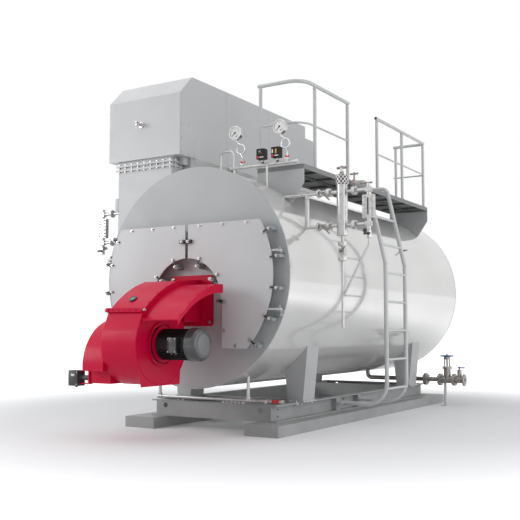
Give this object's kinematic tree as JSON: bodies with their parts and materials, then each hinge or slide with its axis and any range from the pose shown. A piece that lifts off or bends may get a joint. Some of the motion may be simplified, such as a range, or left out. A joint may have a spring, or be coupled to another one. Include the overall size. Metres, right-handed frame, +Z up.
{
  "type": "horizontal fire-tube steam boiler",
  "caption": "Horizontal fire-tube boiler on skids with front burner, rear-run economizer above, side platform with guard rails and ladder, level column and blowdown valves.",
  "frame": {"origin": "bottom centre of the bounding box, on the floor", "axes": "+Z up, front end with the burner faces -Y, +X to the right seen from the front"},
  "size_m": [3.606, 6.028, 3.83],
  "materials": {
    "burner_red": "crimson enamel",
    "casing_grey": "satin light grey sheet paint",
    "cladding": "gloss white-grey cladding paint",
    "deck_grey": "galvanised grey grating",
    "dial_white": "white dial behind glass",
    "door_grey": "satin light grey paint",
    "frame_grey": "matt mid grey paint",
    "front_grey": "satin grey paint",
    "motor_black": "charcoal finned motor",
    "rail_grey": "light grey tube paint",
    "saddle_grey": "matt grey paint",
    "servo_dark": "dark grey plastic",
    "stainless": "stainless tube and fittings",
    "switch_black": "black plastic box",
    "valve_steel": "cast valve bodies",
    "wheel_blue": "blue handle paint"
  },
  "bodies": {
    "boiler": {"base_frame": "frame_grey", "blowdown_pipe": "valve_steel", "blowdown_post": "rail_grey", "boiler_shell": "cladding", "burner_casing": "burner_red", "burner_flange": "burner_red", "burner_hood": "burner_red", "burner_intake": "burner_red", "burner_motor": "motor_black", "burner_scroll": "burner_red", "burner_servo": "servo_dark", "column_drain": "stainless", "column_pipework": "stainless", "door_hinges": "front_grey", "drain_header": "stainless", "duct_neck": "casing_grey", "economizer_casing": "casing_grey", "economizer_posts": "saddle_grey", "economizer_tail": "casing_grey", "flue_duct": "casing_grey", "front_plate": "front_grey", "gate_valve": "valve_steel", "gauge_manifold": "stainless", "handrail_front": "rail_grey", "handrail_rear": "rail_grey", "ladder": "rail_grey", "level_gauge_left": "stainless", "level_gauge_right": "stainless", "platform_brackets": "casing_grey", "platform_deck": "deck_grey", "pressure_gauge_left": "dial_white", "pressure_gauge_right": "dial_white", "pressure_switches": "switch_black", "quick_valve": "valve_steel", "rear_plate": "front_grey", "saddle_front": "saddle_grey", "saddle_rear": "saddle_grey", "skid_left": "frame_grey", "skid_right": "frame_grey", "smokebox_door_right": "door_grey", "vent_loop": "stainless", "water_column": "stainless"},
    "door_leaf_left": {"smokebox_door_left": "door_grey"},
    "handwheel": {"gate_handwheel": "wheel_blue"},
    "lever": {"quick_lever": "wheel_blue"}
  },
  "joints": [
    {"name": "left_door_hinge", "type": "hinge", "parent": "boiler", "child": "door_leaf_left", "pos_m": [-1.07, -2.031, 1.532], "axis": [0, 0, -1], "range_deg": [0, 105]},
    {"name": "handwheel_turn", "type": "hinge", "parent": "boiler", "child": "handwheel", "pos_m": [1.205, 2.379, 0.687], "axis": [0, 0, 1], "continuous": true},
    {"name": "lever_turn", "type": "hinge", "parent": "boiler", "child": "lever", "pos_m": [1.38, 2.379, 0.5275], "axis": [0, 0, 1], "range_deg": [0, 90]}
  ]
}
